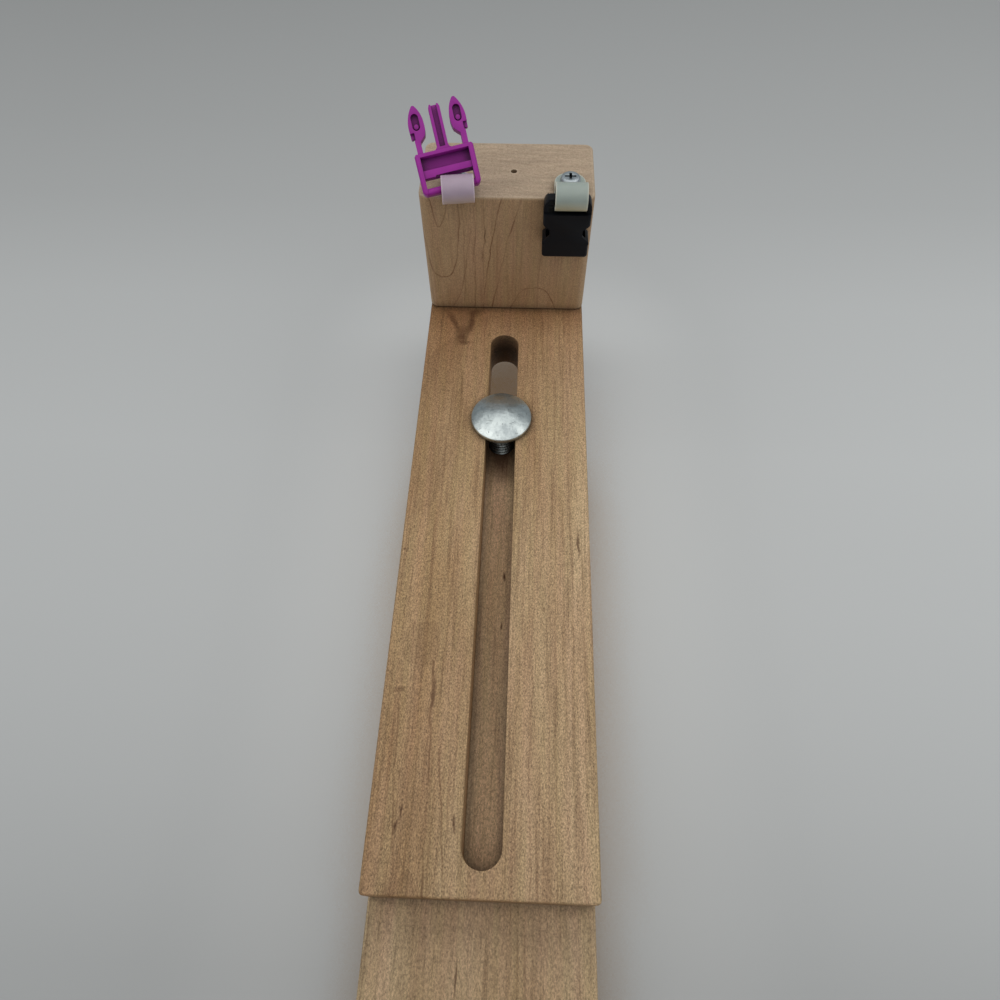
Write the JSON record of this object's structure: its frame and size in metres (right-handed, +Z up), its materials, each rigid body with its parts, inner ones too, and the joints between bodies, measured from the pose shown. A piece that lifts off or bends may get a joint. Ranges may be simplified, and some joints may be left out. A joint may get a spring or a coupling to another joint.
{
  "type": "paracord bracelet jig",
  "caption": "Wooden knotting jig: a slotted slide clamped by a bolt under a wing nut moves one block from the other, and each block holds two side-release buckles in nylon clips.",
  "frame": {"origin": "centre of the base board's underside; the four feet reach down to Z -15.9 mm", "axes": "X to the right as seen by the maker, Y from the near block to the far block along the slide, Z up"},
  "size_m": [0.0653, 0.3222, 0.1283],
  "materials": {
    "maple": "sanded maple, unfinished",
    "maple_slide": "sanded maple, unfinished, worn from use",
    "maple_block": "sanded maple, unfinished, end grain on top",
    "plated_steel": "zinc plated, scuffed",
    "screw_steel": "zinc plated",
    "foot_rubber": "moulded, matt",
    "clip_nylon": "natural nylon, slightly translucent",
    "purple_plastic": "moulded acetal, soft sheen",
    "black_plastic": "moulded acetal, soft sheen"
  },
  "bodies": {
    "base": {"base_board": "maple", "near_block": "maple_block", "carriage_bolt": "plated_steel", "foot_near_left": "foot_rubber", "foot_near_right": "foot_rubber", "foot_far_left": "foot_rubber", "foot_far_right": "foot_rubber", "foot_screws": "screw_steel", "near_block_screws": "screw_steel", "near_left_clip": "clip_nylon", "near_right_clip": "clip_nylon", "near_clip_screws": "screw_steel"},
    "slide": {"slide_board": "maple_slide", "far_block": "maple_block", "far_block_screws": "screw_steel", "far_left_clip": "clip_nylon", "far_right_clip": "clip_nylon", "far_clip_screws": "screw_steel"},
    "washer": {"flat_washer": "plated_steel"},
    "wing_nut": {"wing_nut": "plated_steel"},
    "far_male": {"far_male_buckle": "purple_plastic"},
    "far_female": {"far_female_buckle": "black_plastic"},
    "near_female": {"near_female_buckle": "purple_plastic"},
    "near_male": {"near_male_buckle": "black_plastic"}
  },
  "joints": [
    {"name": "board_slide", "type": "slide", "parent": "base", "child": "slide", "axis": [0, 1, 0], "range_m": [-0.0356, 0.1425]},
    {"name": "washer_drop", "type": "slide", "parent": "base", "child": "washer", "axis": [0, 0, -1], "range_m": [0, 0.0016]},
    {"name": "nut_turn", "type": "hinge", "parent": "washer", "child": "wing_nut", "pos_m": [0, 0.1059, -0.0016], "axis": [0, 0, -1], "range_deg": [0, 360]},
    {"name": "far_male_swing", "type": "hinge", "parent": "slide", "child": "far_male", "pos_m": [-0.01664, 0.15966, 0.09055], "axis": [0.9925, 0.1219, 0], "range_deg": [-8, 206]},
    {"name": "far_female_swing", "type": "hinge", "parent": "slide", "child": "far_female", "pos_m": [0.0217, 0.15898, 0.0888], "axis": [-1, 0, 0], "range_deg": [-3, 234]},
    {"name": "near_female_swing", "type": "hinge", "parent": "base", "child": "near_female", "pos_m": [-0.01805, -0.08565, 0.0888], "axis": [1, 0, 0], "range_deg": [-3, 245]},
    {"name": "near_male_swing", "type": "hinge", "parent": "base", "child": "near_male", "pos_m": [0.0217, -0.08565, 0.0888], "axis": [1, 0, 0], "range_deg": [-4, 238]}
  ],
  "couplings": [
    {"joint": "washer_drop", "follows": "nut_turn", "m_per_rad": 0.00025266}
  ]
}
